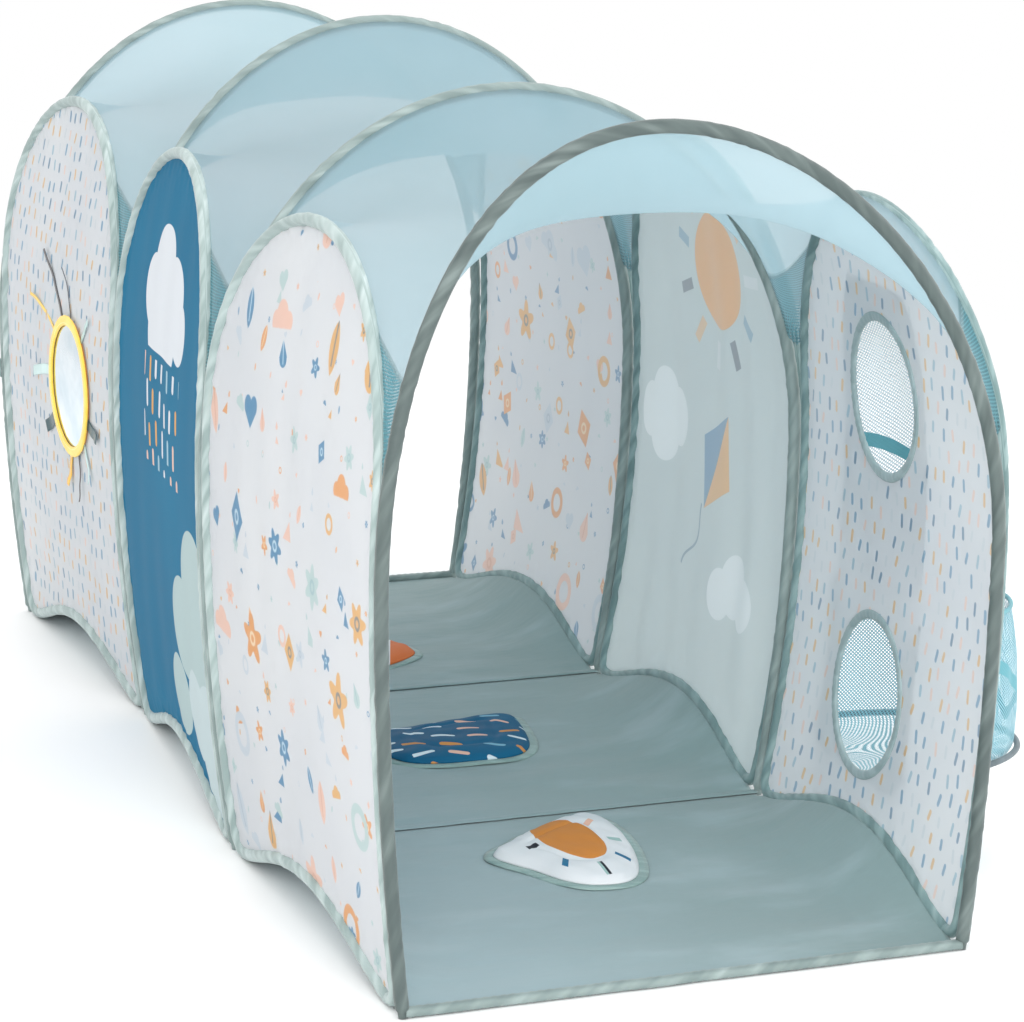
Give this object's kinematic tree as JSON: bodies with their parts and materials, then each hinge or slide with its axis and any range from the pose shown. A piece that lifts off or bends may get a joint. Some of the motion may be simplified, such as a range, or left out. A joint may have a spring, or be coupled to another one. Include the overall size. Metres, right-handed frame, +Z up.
{
  "type": "kids play tunnel",
  "caption": "Pop-up cloth play tunnel with sprung hoops, arched printed side panels, ball windows with a net basket and padded floor flaps.",
  "frame": {"origin": "on the ground under the middle bay's floor, at the middle of the tunnel", "axes": "+Y along the tunnel from the front mouth to the rear mouth, +Z up, +X to the side with the ball windows"},
  "size_m": [0.9828, 1.909, 0.976],
  "materials": {
    "sage_binding": "matt woven tape",
    "sky_cloth": "thin smooth polyester",
    "floor_cloth": "thin smooth polyester",
    "white_cloth": "printed woven polyester",
    "blue_cloth": "printed woven polyester",
    "pale_cloth": "printed woven polyester",
    "orange_cloth": "padded polyester",
    "yellow_felt": "stitched felt",
    "net": "knitted mesh",
    "teal_trim": "elastic edging",
    "dark_sleeve": "matt woven tape",
    "mirror_film": "soft mirror film",
    "spring_steel": "zinc-plated spring wire"
  },
  "bodies": {
    "hoop_2": {"hoop_sleeve_2": "sage_binding", "hoop_wire_2": "spring_steel", "floor_seam_tape_2": "sage_binding", "roof_1": "sky_cloth", "floor_1": "floor_cloth", "floor_patch_1": "sage_binding", "roof_2": "sky_cloth", "floor_2": "floor_cloth", "floor_patch_2": "sage_binding"},
    "hoop_1": {"hoop_sleeve_1": "sage_binding", "hoop_wire_1": "spring_steel", "front_hem": "sage_binding"},
    "hoop_3": {"hoop_sleeve_3": "sage_binding", "hoop_wire_3": "spring_steel", "floor_seam_tape_3": "sage_binding", "roof_3": "sky_cloth", "floor_3": "floor_cloth", "floor_patch_3": "sage_binding"},
    "hoop_4": {"hoop_sleeve_4": "sage_binding", "hoop_wire_4": "spring_steel", "rear_hem": "sage_binding", "tape_tab": "sage_binding"},
    "panel_left_1": {"panel_sleeve_left_1": "sage_binding", "panel_wire_left_1": "spring_steel", "panel_cloth_left_1": "white_cloth", "wire_ferrule_left_1": "spring_steel"},
    "panel_right_1": {"panel_sleeve_right_1": "sage_binding", "panel_wire_right_1": "spring_steel", "panel_cloth_right_1": "white_cloth", "wire_ferrule_right_1": "spring_steel", "window_binding_upper": "sage_binding", "window_binding_lower": "sage_binding", "chute_net": "net"},
    "panel_left_2": {"panel_sleeve_left_2": "sage_binding", "panel_wire_left_2": "spring_steel", "panel_cloth_left_2": "blue_cloth", "wire_ferrule_left_2": "spring_steel"},
    "panel_right_2": {"panel_sleeve_right_2": "sage_binding", "panel_wire_right_2": "spring_steel", "panel_cloth_right_2": "pale_cloth", "wire_ferrule_right_2": "spring_steel"},
    "panel_left_3": {"panel_sleeve_left_3": "sage_binding", "panel_wire_left_3": "spring_steel", "panel_cloth_left_3": "white_cloth", "wire_ferrule_left_3": "spring_steel", "ribbon_backing": "orange_cloth", "mirror_disc": "mirror_film", "mirror_ring": "yellow_felt"},
    "panel_right_3": {"panel_sleeve_right_3": "sage_binding", "panel_wire_right_3": "spring_steel", "panel_cloth_right_3": "white_cloth", "wire_ferrule_right_3": "spring_steel"},
    "basket": {"basket_net": "net", "basket_trim": "teal_trim", "basket_rim_sleeve": "dark_sleeve", "basket_rim_wire": "spring_steel"},
    "flap_1": {"floor_flap_1": "white_cloth"},
    "flap_2": {"floor_flap_2": "blue_cloth"},
    "flap_3": {"floor_flap_3": "orange_cloth"}
  },
  "joints": [
    {"name": "bay_1_sway", "type": "slide", "parent": "hoop_2", "child": "hoop_1", "axis": [1, 0, 0], "range_m": [-0.085, 0.085], "stiffness_N_per_m": 120, "deforming": ["roof_1", "floor_1"]},
    {"name": "bay_2_sway", "type": "slide", "parent": "hoop_2", "child": "hoop_3", "axis": [1, 0, 0], "range_m": [-0.085, 0.085], "stiffness_N_per_m": 120, "deforming": ["roof_2", "floor_2"]},
    {"name": "bay_3_sway", "type": "slide", "parent": "hoop_3", "child": "hoop_4", "axis": [1, 0, 0], "range_m": [-0.085, 0.085], "stiffness_N_per_m": 120, "deforming": ["roof_3", "floor_3"]},
    {"name": "panel_left_1_turn", "type": "hinge", "parent": "hoop_2", "child": "panel_left_1", "pos_m": [-0.3996, -0.3238, 0], "axis": [0, 0, 1], "range_deg": [-8, 8], "deforming": ["panel_sleeve_left_1", "panel_wire_left_1"]},
    {"name": "panel_right_1_turn", "type": "hinge", "parent": "hoop_2", "child": "panel_right_1", "pos_m": [0.3654, -0.3238, 0], "axis": [0, 0, 1], "range_deg": [-8, 8], "deforming": ["panel_sleeve_right_1", "panel_wire_right_1"]},
    {"name": "panel_left_2_turn", "type": "hinge", "parent": "hoop_2", "child": "panel_left_2", "pos_m": [-0.3996, -0.3072, 0], "axis": [0, 0, 1], "range_deg": [-8, 8], "deforming": ["panel_sleeve_left_2", "panel_wire_left_2"]},
    {"name": "panel_right_2_turn", "type": "hinge", "parent": "hoop_2", "child": "panel_right_2", "pos_m": [0.3654, -0.3072, 0], "axis": [0, 0, 1], "range_deg": [-8, 8], "deforming": ["panel_sleeve_right_2", "panel_wire_right_2"]},
    {"name": "panel_left_3_turn", "type": "hinge", "parent": "hoop_3", "child": "panel_left_3", "pos_m": [-0.3398, 0.3238, 0], "axis": [0, 0, 1], "range_deg": [-8, 8], "deforming": ["panel_sleeve_left_3", "panel_wire_left_3"]},
    {"name": "panel_right_3_turn", "type": "hinge", "parent": "hoop_3", "child": "panel_right_3", "pos_m": [0.397, 0.3238, 0], "axis": [0, 0, 1], "range_deg": [-8, 8], "deforming": ["panel_sleeve_right_3", "panel_wire_right_3"]},
    {"name": "basket_fold", "type": "hinge", "parent": "panel_right_1", "child": "basket", "pos_m": [0.35868, -0.591, 0.14], "axis": [-0.0609, -0.9981, 0], "range_deg": [0, 70], "deforming": ["basket_net", "basket_trim"]},
    {"name": "flap_1_lift", "type": "hinge", "parent": "hoop_2", "child": "flap_1", "pos_m": [0.004, -0.3455, 0.0044], "axis": [-1, 0, 0], "range_deg": [0, 85]},
    {"name": "flap_2_lift", "type": "hinge", "parent": "hoop_2", "child": "flap_2", "pos_m": [0.042, 0.13728, 0.0044], "axis": [-1, 0, 0], "range_deg": [0, 85]},
    {"name": "flap_3_lift", "type": "hinge", "parent": "hoop_3", "child": "flap_3", "pos_m": [0.045, 0.61, 0.0044], "axis": [-1, 0, 0], "range_deg": [0, 85]}
  ],
  "couplings": [
    {"joint": "panel_left_1_turn", "follows": "bay_1_sway", "rad_per_m": 1.6276},
    {"joint": "panel_right_1_turn", "follows": "bay_1_sway", "rad_per_m": 1.6276},
    {"joint": "panel_left_2_turn", "follows": "bay_2_sway", "rad_per_m": -1.6276},
    {"joint": "panel_right_2_turn", "follows": "bay_2_sway", "rad_per_m": -1.6276},
    {"joint": "panel_left_3_turn", "follows": "bay_3_sway", "rad_per_m": -1.6276},
    {"joint": "panel_right_3_turn", "follows": "bay_3_sway", "rad_per_m": -1.6276}
  ]
}
